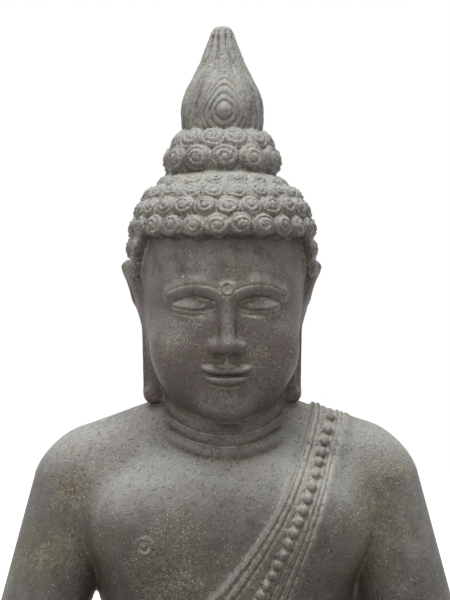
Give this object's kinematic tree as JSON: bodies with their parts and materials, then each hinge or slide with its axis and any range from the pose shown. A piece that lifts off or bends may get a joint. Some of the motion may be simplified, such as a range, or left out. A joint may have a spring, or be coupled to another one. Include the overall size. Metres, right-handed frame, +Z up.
{
  "type": "seated buddha statue",
  "caption": "Seated buddha in cast lava stone: crossed legs, hands in the lap, robe over the left shoulder, snail-curl hair and flame finial, on a low oval base.",
  "frame": {"origin": "bottom centre of the flat underside", "axes": "+Z up, the figure faces -Y, and +X is its left side, which the robe covers"},
  "size_m": [0.7434, 0.4558, 1.001],
  "materials": {
    "lava_stone": "dark grey-brown cast lava stone, satin from handling, paler on upward faces, yellowish pigment in the grooves"
  },
  "bodies": {
    "root": {"seated_buddha": "lava_stone"}
  },
  "joints": []
}
